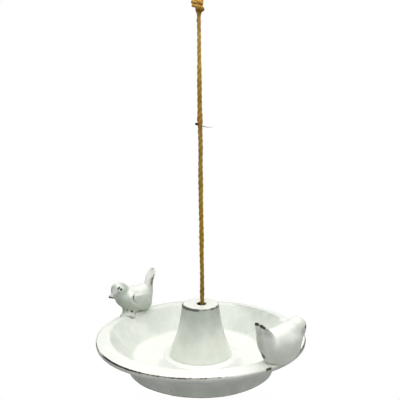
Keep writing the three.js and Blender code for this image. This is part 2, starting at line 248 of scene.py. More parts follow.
def wander(chance, place, heading, length, bends, waver, back=Vector()):
    """The places along a fibre that sets out in a heading and wavers at each of its bends."""
    places = [place]
    for _ in range(bends):
        shake = Vector([chance.uniform(-waver, waver) for _ in range(3)])
        heading = (heading + shake + back).normalized()
        places.append(places[-1] + heading * length / bends)
    return places


def add_fuzz(twine, route, girth, count, seed, reach=(2.0, 6.0), tint=0.1):
    """Stray fibre ends that lift off a cord's surface along its route."""
    chance = random.Random(seed)
    frames = frames_along(route)
    for _ in range(count):
        i = chance.randrange(1, len(route) - 1)
        side, up, ahead = frames[i]
        angle = chance.uniform(0, math.tau)
        out = spoke(side, up, angle)
        across = up * math.cos(angle) - side * math.sin(angle)
        along = ahead * chance.choice((-1, 1)) * chance.uniform(0.5, 1.0)
        length = chance.uniform(*reach) * MM
        heading = out * chance.uniform(0.25, 0.8) + along + across * chance.uniform(-0.6, 0.6)
        root = route[i] + out * girth * 0.43
        places = wander(chance, root, heading.normalized(), length, bends=4, waver=0.3, back=out * -0.12)
        add_fibre(twine, places, chance.uniform(0.035, 0.07) * MM, tint)


def add_fray(twine, route, girth, count, seed, reach, tint=0.15):
    """The brush of fibres at a cut end of the cord."""
    chance = random.Random(seed)
    side, up, ahead = frames_along(route)[-1]
    for _ in range(count):
        out = spoke(side, up, chance.uniform(0, math.tau))
        root = route[-1] - ahead * MM + out * girth * 0.42 * math.sqrt(chance.random())
        heading = (ahead + out * chance.uniform(0, 0.7)).normalized()
        length = chance.uniform(0.4, 1.0) * reach * MM
        places = wander(chance, root, heading, length, bends=3, waver=0.25)
        add_fibre(twine, places, chance.uniform(0.08, 0.16) * MM, tint)


def twine_piece(name, twine):
    """The piece of jute that holds all tubes of a twine."""
    mesh = bpy.data.meshes.new(name)
    mesh.from_pydata(twine["points"], [], twine["faces"])
    fibre_map = mesh.uv_layers.new(name="fibre")
    for loop in mesh.loops:
        fibre_map.data[loop.index].uv = twine["fibre"][loop.vertex_index]
    for key in ("tint", "lay_shade_and_dark"):
        mesh.attributes.new(key, "FLOAT", "POINT").data.foreach_set("value", twine[key])
    mesh.shade_smooth()
    mesh.materials.append(jute)
    piece = add_object(name, mesh)
    return piece


def shade_node(tree, kind, inputs=None, **settings):
    """A shader node with its settings, and its inputs either linked or given a value."""
    node = tree.nodes.new("ShaderNode" + kind)
    for name, value in settings.items():
        setattr(node, name, value)
    for key, value in (inputs or {}).items():
        if isinstance(value, bpy.types.NodeSocket):
            tree.links.new(value, node.inputs[key])
        else:
            node.inputs[key].default_value = value
    return node


def new_material(name):
    material = bpy.data.materials.new(name)
    material.use_nodes = True
    material.node_tree.nodes.clear()
    return material, material.node_tree


def reckon(tree, operation, *values, **settings):
    """One sum in a shader."""
    return shade_node(tree, "Math", dict(enumerate(values)), operation=operation, **settings).outputs[0]


def span(tree, value, start, end, low=0.0, high=1.0):
    """Draws what a value does between start and end out to low and high."""
    return shade_node(tree, "MapRange", {
        "Value": value, "From Min": start, "From Max": end, "To Min": low, "To Max": high}).outputs[0]


def blend(tree, share, one, other, how="MIX"):
    """A share of the other colour over the one."""
    inputs = {0: share, 6: one, 7: other}
    return shade_node(tree, "Mix", inputs, data_type="RGBA", blend_type=how).outputs[2]


def mottled(tree, place, scale, detail, roughness=0.5):
    """A cloudy value over a surface."""
    inputs = {"Vector": place, "Scale": scale, "Detail": detail, "Roughness": roughness}
    return shade_node(tree, "TexNoise", inputs).outputs["Fac"]


def place_on(tree):
    return shade_node(tree, "TexCoord").outputs["Object"]


def where(tree):
    """A place on a piece, and its distances along the three axes."""
    place = place_on(tree)
    return place, shade_node(tree, "SeparateXYZ", {"Vector": place}).outputs


def read_attribute(tree, name):
    return shade_node(tree, "Attribute", attribute_name=name).outputs["Fac"]


def ramp(tree, value, stops):
    """A colour ramp over a value, from a list of places and colours."""
    node = shade_node(tree, "ValToRGB", {"Fac": value})
    elements = node.color_ramp.elements
    while len(elements) < len(stops):
        elements.new(0.5)
    for element, (place, colour) in zip(elements, stops):
        element.position = place
        element.color = (*colour, 1)
    return node.outputs["Color"]


def surface(tree, colour, roughness, relief, strength, distance, specular):
    """Ends a material with a shader that has a fine relief."""
    bump = shade_node(tree, "Bump", {"Height": relief, "Strength": strength, "Distance": distance})
    shader = shade_node(tree, "BsdfPrincipled", {
        "Base Color": colour, "Roughness": roughness, "Normal": bump.outputs["Normal"],
        "Specular IOR Level": specular})
    shade_node(tree, "OutputMaterial", {"Surface": shader.outputs["BSDF"]})


# Jute: pale and dark fibres side by side along each strand, painted shade down in the lay, browner
# towards the foot of the cord, rusty where the tint says so and nearly black in the stub.
jute, tree = new_material("jute_twine")
fibre = shade_node(tree, "UVMap", uv_map="fibre").outputs["UV"]
coarse_map = shade_node(tree, "Mapping", {"Vector": fibre, "Scale": (0.07, 1.5, 1)})
fine_map = shade_node(tree, "Mapping", {"Vector": fibre, "Scale": (0.22, 5.5, 1)})
coarse = mottled(tree, coarse_map.outputs["Vector"], 1, 3)
fine = mottled(tree, fine_map.outputs["Vector"], 1, 4)
streaks = reckon(tree, "MULTIPLY", reckon(tree, "ADD", coarse, fine), 0.5)
colour = blend(tree, read_attribute(tree, "tint"), ramp(tree, streaks, STRAW), ramp(tree, streaks, RUST))
place, axes = where(tree)
# The cord's colour from its head to its foot: a lighter then a darker band under the top knot, then darker
# and browner lower down.
colour = blend(tree, 1.0, colour, ramp(tree, span(tree, axes["Z"], -0.04, -0.38), CORD_TONE_DOWNWARDS), "MULTIPLY")
# Painted shade down in the lay; values above 1.2 turn a fibre nearly black, as in the stub.
lay_shade_and_dark = read_attribute(tree, "lay_shade_and_dark")
colour = blend(tree, span(tree, lay_shade_and_dark, 0.3, 0.9, 0.0, 0.85), colour, (0.3, 0.24, 0.16, 1), "MULTIPLY")
colour = blend(tree, span(tree, lay_shade_and_dark, 1.2, 2.0, 0.0, 0.95), colour, (0.02, 0.015, 0.004, 1))
patch = span(tree, mottled(tree, place, 120, 2), 0.35, 0.68, 0.0, 0.8)
colour = blend(tree, patch, colour, (0.76, 0.68, 0.5, 1), "MULTIPLY")
dull = span(tree, fine, 0.0, 1.0, 0.95, 0.68)
surface(tree, colour, dull, streaks, strength=0.7, distance=0.0004, specular=0.15)


def cord_thickness(place):
    """The cord is thinner where it is pulled tight under the top knot, and swells at its slubs."""
    height = over_rim(place)
    share = 0.97 + 0.13 * share_of(height, *CORD_SLACKENS)
    share += 0.08 * noise.noise(Vector((0, 0, height * 0.09)))
    return CORD_DIAMETER * MM * (share + adds_up(height, CORD_SLUBS))


def cord_tint(place):
    """How rusty the cord's fibres are."""
    return min(1, 0.12 + adds_up(over_rim(place), CORD_RUSTY))


cord_points = [(0.6, 0, CORD_FOOT - CORD_HIDDEN)]
for i, (right, back) in enumerate(CORD_SWAY):
    cord_points.append((right, back, CORD_FOOT + (CORD_HEAD - CORD_FOOT) * i / (len(CORD_SWAY) - 1)))
cord_route = laid([*cord_points, (-0.6, 0, CORD_HEAD + CORD_HIDDEN)])
twine = new_twine()
add_strands(twine, cord_route, cord_thickness, cord_tint)
hanging_cord = twine_piece("cord_strands", twine)
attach(hanging_cord, "cord")
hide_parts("hanging_cord")

# Stray fibres of the hanging cord. Short ends lift off the twine all along it. A coarse dark
# strand is caught in the thick slub, with a short stub on one side and a long end on the other.
CLEAR_OF_HOLE = 22  # places along the cord before it is out of the column
LONG_END = [(1.2, -1.6, 238.6), (4.4, -2.6, 237.4), (8, -2.4, 236.7), (13.6, -1.4, 236.5)]
LOW_END = [(-0.6, -1.8, 112), (-2.2, -2.4, 114), (-2.8, -2, 116.5)]
STUB = [
    (-0.9, -1.2, 239.6), (-2.6, -1.6, 239.9), (-3.3, -1.8, 240), (-4.6, -2, 240.2), (-5.3, -2.1, 240.3),
]
STUB_RADII = [0.7, 1.1, 1.45, 1.35, 0.5]
STUB_SIDES = 10
STUB_DARK = 2.0  # deeper than any place in the lay, so that it is nearly black
twine = new_twine()
add_fuzz(twine, cord_route[CLEAR_OF_HOLE:], CORD_DIAMETER * MM, count=260, seed=11)
add_fibre(twine, laid(LONG_END, step=1), 0.6 * MM, tint=0.2, depth=1.5)
stub = [hung(p) for p in STUB]
angles = [math.tau * k / STUB_SIDES for k in range(STUB_SIDES)]
rings, fibres = [], []
for place, (side, up, _), radius in zip(stub, frames_along(stub), STUB_RADII):
    rings.append([place + spoke(side, up, angle) * radius * MM for angle in angles])
    fibres.append([(radius, angle) for angle in angles])
add_tube(twine, rings, fibres, [0.3] * len(stub), [[STUB_DARK] * STUB_SIDES] * len(stub))
add_fibre(twine, laid(LOW_END, step=1), 0.22 * MM, tint=0.2)
cord_fibres = twine_piece("cord_fibres", twine)
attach(cord_fibres, "cord")

# Loop. The upper end of the same cord, doubled back into a drop-shaped eye that goes over a
# hook. Both its legs are held side by side in the top knot.
LOOP_RADIUS = 12
LOOP_CENTRE = 405.2
LOOP_THICK = 4.1
loop_points = [(-2.0, 0.3, 369), (-2.3, 0, 373), (-3.6, 0, 380)]
for i in range(11):
    angle = math.radians(200 - 22 * i)
    loop_points.append((LOOP_RADIUS * math.cos(angle), 0, LOOP_CENTRE + LOOP_RADIUS * math.sin(angle)))
loop_points += [(3.6, 0, 380), (2.3, 0, 373), (2.0, -0.3, 369)]
loop_route = laid(loop_points)
twine = new_twine()
add_strands(twine, loop_route, lambda place: LOOP_THICK * MM, lambda place: 0.15)
loop = twine_piece("loop_strands", twine)
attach(loop, "loop")
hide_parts("hanging_loop")
twine = new_twine()
add_fuzz(twine, loop_route, LOOP_THICK * MM, count=90, seed=12)
loop_fibres = twine_piece("loop_fibres", twine)
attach(loop_fibres, "loop")

# Top knot. The cord's end wound two and a half times round the loop's legs and pulled tight,
# so that the front turn slants down to the right, with its short end drooping at the back.
KNOT_STEP = 0.7
KNOT_THICK = 4.3
LEG_THICK = 4.2
NECK_THICK = 4.6  # of the knot's middle where it meets the cord
CORE_WIDER = 2.8  # mm that it is thicker inside the turns
NECK = (355.8, 361.3)  # heights between which it widens
KNOT_TURNS = [
    (-1.0, -0.6, 370.5), (1.4, 1.8, 370.8), (-1.2, 4.6, 370.6), (-5.2, 4.2, 370.2), (-7.3, 0.4, 369.6),
    (-6.0, -3.8, 369), (-2.4, -5.2, 368.8), (1.2, -3.4, 368.2), (1.7, 1.2, 367.4), (-1.0, 4.9, 366.8),
    (-5, 4.6, 366.4), (-6.6, 0.6, 366), (-5.4, -3.9, 365.2), (-1.8, -5.8, 363.8), (1.9, -4.4, 362.3),
    (3.2, 0.2, 361.8), (1.4, 4.6, 361.6), (-1.6, 5.2, 362.8), (-1.8, 7.0, 365.2), (-1.2, 9.6, 364.2),
    (-1.0, 13.2, 360.4), (-0.9, 15.2, 355.6), (-0.9, 15.6, 353.6),
]
KNOT_CORE = [(-0.9, 0, 355.4), (-0.7, 0, 360), (-1.8, 0, 366), (-2, 0, 371.6)]
KNOT_LEG = [(0.8, 1.2, 359.6), (1.4, 0.4, 365), (2, -0.2, 371)]
knot_route, core_route, leg_route = (laid(points, KNOT_STEP) for points in (KNOT_TURNS, KNOT_CORE, KNOT_LEG))


def ease(value, low, high):
    """How far a value has come from low to high, with a soft start and end."""
    share = share_of(value, low, high)
    return share * share * (3 - 2 * share)


def core_thickness(place):
    """The knot's middle, which narrows down into the cord."""
    return (NECK_THICK + CORE_WIDER * ease(over_rim(place), *NECK)) * MM


def knot_tint(place):
    """The knot's fibres are rusty all over, in patches."""
    return 0.7 + 0.3 * noise.noise(place * 260)


twine = new_twine()
add_strands(twine, knot_route, lambda place: KNOT_THICK * MM, knot_tint)
add_strands(twine, core_route, core_thickness, knot_tint, turn=1.0)
add_strands(twine, leg_route, lambda place: LEG_THICK * MM, knot_tint, turn=2.0)
add_fuzz(twine, knot_route, girth=4.1 * MM, count=70, seed=13, reach=(1.5, 4.0), tint=0.5)
add_fray(twine, knot_route, girth=3.8 * MM, count=60, seed=14, reach=6)
top_knot = twine_piece("top_knot_turns", twine)
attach(top_knot, "upper_knot")
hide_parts("top_knot", "loop_tail")

# Stop knot. A fat barrel knot at the cord's lower end, pulled up against the hole inside the
# column. It carries the dish, and the cut end hangs out of it below.
STOP_CENTRE = 21.438
STOP_RADIUS = 7.7
STOP_TURNS = 4
STOP_PLACES = STOP_TURNS * 12
STOP_THICK = 4.2
STOP_CORE_THICK = 11
STOP_TINT = 0.3
CUT_END = [(1.0, 0.6, 12.4), (0.2, 0, 9.6), (0.2, -0.2, 2.1), (0.8, -0.9, -5.6)]
stop_points = [(0.6, 0, CORD_FOOT - 1), (0.8, 0.2, STOP_CENTRE + 8)]
for i in range(STOP_PLACES + 1):
    share = i / STOP_PLACES
    rise = math.cos(math.pi * (0.12 + 0.76 * share))
    reach = STOP_RADIUS * math.sqrt(max(0.02, 1 - rise * rise))
    angle = math.tau * STOP_TURNS * share
    height = STOP_CENTRE + STOP_RADIUS * rise + 1.1 * math.sin(angle + 0.7)
    stop_points.append((reach * math.cos(angle), reach * math.sin(angle), height))
stop_route = laid(stop_points + CUT_END)
core_route = laid([(0.3, 0, STOP_CENTRE + z) for z in (8, 3, -3, -8)])
twine = new_twine()
add_strands(twine, stop_route, lambda place: STOP_THICK * MM, lambda place: STOP_TINT)
add_strands(twine, core_route, lambda place: STOP_CORE_THICK * MM, lambda place: STOP_TINT)
add_fuzz(twine, stop_route, STOP_THICK * MM, count=120, seed=15, reach=(1.5, 3.5), tint=STOP_TINT)
add_fray(twine, stop_route, girth=4 * MM, count=60, seed=16, reach=6)
stop_knot = twine_piece("stop_knot_turns", twine)
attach(stop_knot, "lower_knot")
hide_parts("stop_knot", "cord_tail")

# Dish. A thrown stoneware bowl with a flat floor, steep sides, a foot ring and a broad, nearly
# level rim that sank a little at its front left. It is dipped in a white glaze, which breaks to
# the dark clay along the rim's outer edge. Its floor round the column is whiter as painted light,
# and its inner sides and its outside under the rim are greyer as painted shade.
DISH_SIDES = 192
# Corners of its section: radius, height over the rim's edge, and how far each is rounded off
DISH_SECTION = [
    (31.5, -33, 1), (72.3, -33, 2.2), (75.5, -39.5, 1.6), (83.5, -39.5, 1.4), (83.6, -28.2, 4.5),
    (104.9, -6.2, 4), (119.2, -6, 1.9), (120, -0.2, 1.9), (104.8, 2.2, 2.2), (76.6, -26.5, 6.5),
    (31.5, -26.5, 0),
]
RIM_RADIUS = 120
RIM_DROOP = 2.5  # mm that the rim sank in the kiln where it sank most
DROOP_TOWARDS = Vector((math.cos(math.radians(203)), math.sin(math.radians(203)), 0))
DROOP_POWER = 1.5  # how fast the droop fades to both sides of that
DROOP_FROM = 88  # mm from the middle at which the droop starts
# Worn edges: radius and height in metres, in the frame of the hang point
RIM_EDGE = (0.1198, -0.4155)
LIP_EDGE = (0.1046, -0.4129)
FOOT_EDGE = (0.0835, -0.4542)
EDGE_REACH = 0.0016
BARE_STRETCHES = [(60, -15, 0), (-27.2, -53.5, 0)]  # sides so strong that they leave only a stretch
RIM_CHIPS = [
    (0.0668, -0.0993, -0.4163), (0.0679, -0.0986, -0.4162), (0.069, -0.0978, -0.4161),
    (0.0702, -0.097, -0.4161),
]
# Where the painted shade of the bowl's sides runs up over the lip
BACK_RIGHT = (0.72, 0.694, 0)
FAR_LEFT = (-0.956, 0.292, 0)
# The radius less the height times WALL_LEAN tells how deep a place lies in the bowl's leaning sides
WALL_LEAN = 0.98
INNER_FACE = (0.5125, 0.5145)
OUTER_FACE = (0.5145, 0.5165)
PAINTED_LIGHT_WHITE = (0.95, 0.955, 0.915, 1)
HALO_BROWN = (0.3, 0.28, 0.22, 1)


def set_mode(mode):
    bpy.ops.object.mode_set(mode=mode)


def deselect(mesh):
    for elements in (mesh.vertices, mesh.edges, mesh.polygons):
        for element in elements:
            element.select = False


def select_ring(piece, radius, height):
    """Selects the edges of a turned piece that lie at one radius and height."""
    set_mode("OBJECT")
    mesh = piece.data

    def on_ring(index):
        x, y, z = mesh.vertices[index].co
        return abs(math.hypot(x, y) - radius) < 1e-5 and abs(z - height) < 1e-5

    deselect(mesh)
    for edge in mesh.edges:
        edge.select = on_ring(edge.vertices[0]) and on_ring(edge.vertices[1])
    set_mode("EDIT")


def turned(name, section, sides):
    """Draws a ring of points out along a section and rounds off its corners, as on a wheel."""
    bpy.ops.object.select_all(action="DESELECT")
    radius, height = section[0][0] * MM, section[0][1] * MM - RIM_TO_HANG * MM
    bpy.ops.mesh.primitive_circle_add(vertices=sides, radius=radius, location=(0, 0, 0))
    piece = bpy.context.object
    piece.name = name
    piece.data.name = name
    set_mode("EDIT")
    bpy.ops.mesh.select_mode(type="EDGE")
    bpy.ops.mesh.select_all(action="SELECT")
    bpy.ops.transform.translate(value=(0, 0, height))
    for next_radius, next_height, _ in [*section[1:], section[0]]:
        rise = next_height * MM - RIM_TO_HANG * MM - height
        bpy.ops.mesh.extrude_region_move(TRANSFORM_OT_translate={"value": (0, 0, rise)})
        height += rise
        share = next_radius * MM / radius
        bpy.ops.transform.resize(value=(share, share, 1), center_override=(0, 0, height))
        radius *= share
    bpy.ops.mesh.select_all(action="SELECT")
    bpy.ops.mesh.remove_doubles(threshold=1e-6)
    for radius, height, rounding in section:
        if rounding:
            select_ring(piece, radius * MM, (height - RIM_TO_HANG) * MM)
            bpy.ops.mesh.bevel(
                offset=rounding * MM, offset_type="OFFSET", segments=5, profile=0.5, affect="EDGES")
    bpy.ops.mesh.select_all(action="SELECT")
    bpy.ops.mesh.normals_make_consistent(inside=False)
    set_mode("OBJECT")
    bpy.ops.object.shade_smooth()
    return piece


def modified(piece, kind, **settings):
    """Applies a modifier to a piece."""
    modifier = piece.modifiers.new(kind, kind)
    for name, value in settings.items():
        setattr(modifier, name, value)
    bpy.context.view_layer.objects.active = piece
    bpy.ops.object.modifier_apply(modifier=kind)


def hand_made(piece, size, amount):
    """The slow unevenness of clay that was worked by hand."""
    swell = bpy.data.textures.new(piece.name + "_swell", "CLOUDS")
    swell.noise_scale = size * MM
    modified(piece, "DISPLACE", texture=swell, texture_coords="LOCAL", strength=amount * MM, mid_level=0.5)


def new_group(name, inputs, outputs):
    """A shader node group with named sockets, its input and output nodes placed."""
    group = bpy.data.node_groups.new(name, "ShaderNodeTree")
    for label, kind, value in inputs:
        socket = group.interface.new_socket(label, in_out="INPUT", socket_type="NodeSocket" + kind)
        socket.default_value = value
    for label, kind in outputs:
        group.interface.new_socket(label, in_out="OUTPUT", socket_type="NodeSocket" + kind)
    source = group.nodes.new("NodeGroupInput").outputs
    sink = group.nodes.new("NodeGroupOutput").inputs
    return group, source, sink


def measured(tree, operation, *vectors):
    """A length or distance in a shader."""
    return shade_node(tree, "VectorMath", dict(enumerate(vectors)), operation=operation).outputs["Value"]


def flat_length(tree, x, y):
    """The straight way over two distances that are square to each other."""
    return measured(tree, "LENGTH", shade_node(tree, "CombineXYZ", {"X": x, "Y": y}).outputs[0])


# White glaze: slow clouds of a greener white where it pooled, a faint mottle, pinholes, grey painted shade
# and whiter painted light where their masks say, and bare dark clay with a brown halo where it is worn.
glaze_group, given, result = new_group("white_glaze", [
    ("White", "Color", (0.83, 0.85, 0.775, 1)), ("Pooled", "Color", (0.62, 0.68, 0.57, 1)),
    ("Grey", "Color", (0.44, 0.485, 0.425, 1)), ("Clay", "Color", (0.035, 0.033, 0.026, 1)),
    ("Cloud", "Float", 0.3), ("Painted shade", "Float", 0.0), ("Painted light", "Float", 0.0), ("Wear and shade", "Float", 0.0)],
    [("Color", "Color"), ("Roughness", "Float"), ("Height", "Float")])
tree = glaze_group
place = place_on(tree)
clouds = mottled(tree, place, 34, 5, 0.6)
mottle = mottled(tree, place, 210, 4, 0.65)
cloud_share = reckon(tree, "MULTIPLY", span(tree, clouds, 0.38, 0.68), given["Cloud"])
colour = blend(tree, cloud_share, given["White"], given["Pooled"])
colour = blend(tree, span(tree, mottle, 0.45, 0.75, 0.0, 0.2), colour, given["Pooled"])
# Painted shade: the grey laid where the shade mask says.
shade_clouds = span(tree, clouds, 0.35, 0.65, 0.7, 1.25)
shade_share = reckon(tree, "MULTIPLY", shade_clouds, given["Painted shade"], use_clamp=True)
colour = blend(tree, shade_share, colour, given["Grey"])
# Painted light: a purer white laid where the light mask says.
colour = blend(tree, given["Painted light"], colour, PAINTED_LIGHT_WHITE)
pits = shade_node(tree, "TexVoronoi", {"Vector": place, "Scale": 130}).outputs
pit_pick = shade_node(tree, "SeparateColor", {"Color": pits["Color"]}).outputs[0]
pit_spot = span(tree, pits["Distance"], 0.03, 0.07, 1.0, 0.0)
pit_mask = reckon(tree, "MULTIPLY", pit_spot, reckon(tree, "GREATER_THAN", pit_pick, 0.9))
# The wear mask also carries painted shade, which takes the same halo and dark clay.
colour = blend(tree, span(tree, given["Wear and shade"], 0.15, 0.6, 0.0, 0.55), colour, HALO_BROWN)
clay_and_shade = span(tree, given["Wear and shade"], 0.5, 0.85)
bare_or_pit = reckon(tree, "MAXIMUM", clay_and_shade, pit_mask)
colour = blend(tree, bare_or_pit, colour, given["Clay"])
gloss = span(tree, mottle, 0.0, 1.0, 0.12, 0.3)
rough = reckon(tree, "ADD", gloss, span(tree, clay_and_shade, 0.0, 1.0, 0.0, 0.35))
swell = reckon(tree, "ADD", clouds, reckon(tree, "MULTIPLY", mottle, 0.25))
swell = reckon(tree, "SUBTRACT", swell, bare_or_pit)
tree.links.new(colour, result["Color"])
tree.links.new(rough, result["Roughness"])
tree.links.new(swell, result["Height"])

# Worn edge: a mask round one circular edge of a turned piece, patchy along it and ragged across.
edge_group, given, result = new_group("worn_edge", [
    ("Radius", "Float", 0.12), ("Height", "Float", 0.0), ("Reach", "Float", 0.002),
    ("Patchy", "Float", 0.5), ("Level", "Float", 0.0), ("Side", "Vector", (0.0, 0.0, 0.0)),
    ("Most", "Float", 1.0)], [("Mask", "Float")])
tree = edge_group
place, axes = where(tree)
across = reckon(tree, "SUBTRACT", flat_length(tree, axes["X"], axes["Y"]), given["Radius"])
above = reckon(tree, "SUBTRACT", axes["Z"], given["Height"])
away = reckon(tree, "DIVIDE", flat_length(tree, across, above), given["Reach"])
near = reckon(tree, "SUBTRACT", 1.0, away)
patches = span(tree, mottled(tree, place, 22, 3), 0.35, 0.65, -0.5, 0.5)
ragged = span(tree, mottled(tree, place, 260, 4, 0.7), 0.3, 0.7, -0.35, 0.35)
lean_to = measured(tree, "DOT_PRODUCT", place, given["Side"])
mask = near
for more in (reckon(tree, "MULTIPLY", patches, given["Patchy"]), ragged, lean_to, given["Level"]):
    mask = reckon(tree, "ADD", mask, more)
mask = reckon(tree, "MULTIPLY", mask, span(tree, near, 0.0, 0.3), use_clamp=True)
tree.links.new(reckon(tree, "MULTIPLY", mask, given["Most"]), result["Mask"])


def worn_ring(tree, edge, reach, **values):
    """Bare clay round an edge that is given by its radius and height."""
    inputs = {"Radius": edge[0], "Height": edge[1], "Reach": reach, **values}
    return shade_node(tree, "Group", inputs, node_tree=edge_group).outputs["Mask"]


def strongest(tree, masks):
    most = masks[0]
    for mask in masks[1:]:
        most = reckon(tree, "MAXIMUM", most, mask)
    return most


def glazed(name, wear_and_shade_from, painted_shade_from, painted_light_from, **values):
    """A glazed finish. The three functions are given its node tree and put out those masks."""
    material, tree = new_material(name)
    masks = {"Wear and shade": wear_and_shade_from(tree), "Painted shade": painted_shade_from(tree), "Painted light": painted_light_from(tree)}
    glaze = shade_node(tree, "Group", {**values, **masks}, node_tree=glaze_group).outputs
    surface(tree, *glaze, strength=0.35, distance=0.0006, specular=0.5)
    return material


def rim_edge_height(tree):
    """The height of the rim's outer edge, which is lower where the rim sank."""
    place = place_on(tree)
    towards = measured(tree, "DOT_PRODUCT", place, DROOP_TOWARDS / (RIM_RADIUS * MM))
    sunk = reckon(tree, "POWER", reckon(tree, "MAXIMUM", towards, 0.0), DROOP_POWER)
    return reckon(tree, "MULTIPLY_ADD", sunk, -RIM_DROOP * MM, RIM_EDGE[1])


def worn_dish(tree):
    """The rim's outer edge, two barer stretches and a chip on it, a grey line on the lip, the foot."""
    place = place_on(tree)
    rim = (RIM_EDGE[0], rim_edge_height(tree))
    masks = [
        worn_ring(tree, rim, EDGE_REACH, Patchy=0.9, Level=-0.12, Side=(-2.5, -0.4, 0)),
        worn_ring(tree, LIP_EDGE, EDGE_REACH, Patchy=0.6, Level=-0.1, Side=(0, 2.0, 0), Most=0.5),
        worn_ring(tree, FOOT_EDGE, 0.0015, Patchy=0.6),
    ]
    for side in BARE_STRETCHES:
        masks.append(worn_ring(tree, rim, EDGE_REACH, Patchy=0.5, Level=-6.8, Side=side, Most=0.8))
    for chip in RIM_CHIPS:
        masks.append(span(tree, measured(tree, "DISTANCE", place, chip), 0.0004, 0.003, 1.0, 0.0))
    return strongest(tree, masks)


def painted_shade_on_dish(tree):
    """Painted shade on the bowl's inner side, over two stretches of its lip, and on its outside under the
    rim.
    """
    place, axes = where(tree)
    reach = flat_length(tree, axes["X"], axes["Y"])
    back_right = measured(tree, "DOT_PRODUCT", place, BACK_RIGHT)
    far_left = measured(tree, "DOT_PRODUCT", place, FAR_LEFT)
    drawn_in = reckon(tree, "SUBTRACT", reach, span(tree, back_right, 0.096, 0.104, 0.0, 0.006))
    drawn_in = reckon(tree, "SUBTRACT", drawn_in, span(tree, far_left, 0.096, 0.103, 0.0, 0.0025))
    slope = reckon(tree, "MULTIPLY", axes["Z"], WALL_LEAN)
    wall_most = span(tree, back_right, 0.092, 0.103, 0.44, 0.68)
    wall = span(tree, reckon(tree, "SUBTRACT", drawn_in, slope), *INNER_FACE, wall_most, 0.0)
    above_floor = span(tree, reach, 0.0755, 0.0795)
    below_lip = span(tree, drawn_in, 0.1022, 0.1047, 1.0, 0.0)
    wall = reckon(tree, "MULTIPLY", reckon(tree, "MULTIPLY", wall, above_floor), below_lip)
    outside = span(tree, reckon(tree, "SUBTRACT", reach, slope), *OUTER_FACE, 0.0, 0.55)
    under_rim = span(tree, reckon(tree, "SUBTRACT", axes["Z"], rim_edge_height(tree)), -0.001, -0.0025)
    return strongest(tree, [wall, reckon(tree, "MULTIPLY", outside, under_rim)])


def painted_light_on_floor(tree):
    """Painted light: the floor round the column's foot is painted whiter."""
    _, axes = where(tree)
    inward = span(tree, flat_length(tree, axes["X"], axes["Y"]), 0.042, 0.06, 1.0, 0.0)
    return reckon(tree, "MULTIPLY", inward, span(tree, axes["Z"], -0.437, -0.44))


dish = turned("dish_body", DISH_SECTION, DISH_SIDES)
for vertex in dish.data.vertices:
    reach = math.hypot(vertex.co.x, vertex.co.y)
    towards = max(0, DROOP_TOWARDS.dot(vertex.co) / reach)
    vertex.co.z -= RIM_DROOP * MM * towards ** DROOP_POWER * share_of(reach / MM, DROOP_FROM, RIM_RADIUS)
hand_made(dish, size=55, amount=1.1)
dish.data.materials.append(glazed(
    "dish_glaze", worn_dish, painted_shade_on_dish, painted_light_on_floor, White=(0.9, 0.915, 0.85, 1), Cloud=0.25))
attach(dish, "waterer")
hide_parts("dish")

# Column. A hollow bell thrown apart from the dish and luted to the middle of its floor, where a
# pool of glaze rises against it. The cord runs through the long hole in its flat top, and the
# glaze breaks along its upper edge. It is darker towards the top as painted shade, and whiter at
# its foot as painted light.
COLUMN_SECTION = [
    (31.5, -27.6, 0), (49, -27.6, 0), (38.4, -25.7, 1.9), (36, -24.6, 0.6), (36.5, -23.3, 0.7),
    (34.9, -19.8, 2.5), (31.2, -10, 3), (27.6, 0, 3), (25.1, 10, 3), (23.2, 20, 3), (21.7, 30, 2),
    (20.9, 35.3, 1.5), (5.5, 35.5, 0.6), (5.8, 28.9, 0.5), (14.8, 28.9, 2.5), (21.2, 0.8, 8),
]
COLUMN_SIDES = 128
COLUMN_EDGE = (0.0208, -0.3809)
HOLE_EDGE = (0.0056, -0.3838)
HOLE_REACH = 8  # mm from the middle within which a place belongs to the hole
HOLE_ASIDE = 1.1
HOLE_DEEPER = 1.22  # the cord's rocking has worn the hole longer from front to back


def worn_and_shaded_column(tree):
    """The upper edge, dark at its sides and only broken in its front, and the mouth of the hole. The dark
    band at the sides is partly worn clay and partly painted shade.
    """
    _, axes = where(tree)
    aside = reckon(tree, "ABSOLUTE", reckon(tree, "SUBTRACT", axes["X"], 0.0042))
    # Stronger at the column's left and right sides, where the dark band is partly painted shade.
    level = span(tree, aside, 0.0035, 0.0085, -0.36, 0.2)
    edge = worn_ring(tree, COLUMN_EDGE, 0.0022, Patchy=0.7, Level=level, Side=(-1.5, -2.0, 0), Most=0.78)
    return strongest(tree, [edge, worn_ring(tree, HOLE_EDGE, 0.0036, Patchy=0.0, Level=0.7)])


def painted_shade_up_column(tree):
    """Painted shade, growing darker up the column towards its upper edge and stopping short of the top."""
    _, axes = where(tree)
    upward = span(tree, axes["Z"], -0.425, -0.383, 0.2, 0.75)
    return reckon(tree, "MULTIPLY", upward, span(tree, axes["Z"], -0.3812, -0.3802, 1.0, 0.0))


def painted_light_at_foot(tree):
    """The same painted light, on the column's flared foot where it meets the floor."""
    _, axes = where(tree)
    return span(tree, axes["Z"], -0.4389, -0.4397, 0.0, 0.6)


column = turned("column_body", COLUMN_SECTION, COLUMN_SIDES)
for vertex in column.data.vertices:
    if math.hypot(vertex.co.x, vertex.co.y) < HOLE_REACH * MM:
        vertex.co.x += HOLE_ASIDE * MM
        vertex.co.y *= HOLE_DEEPER
hand_made(column, size=30, amount=0.7)
column.data.materials.append(glazed(
    "column_glaze", worn_and_shaded_column, painted_shade_up_column, painted_light_at_foot, White=(0.85, 0.87, 0.8, 1), Cloud=0.35))
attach(column, "waterer")
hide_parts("column")

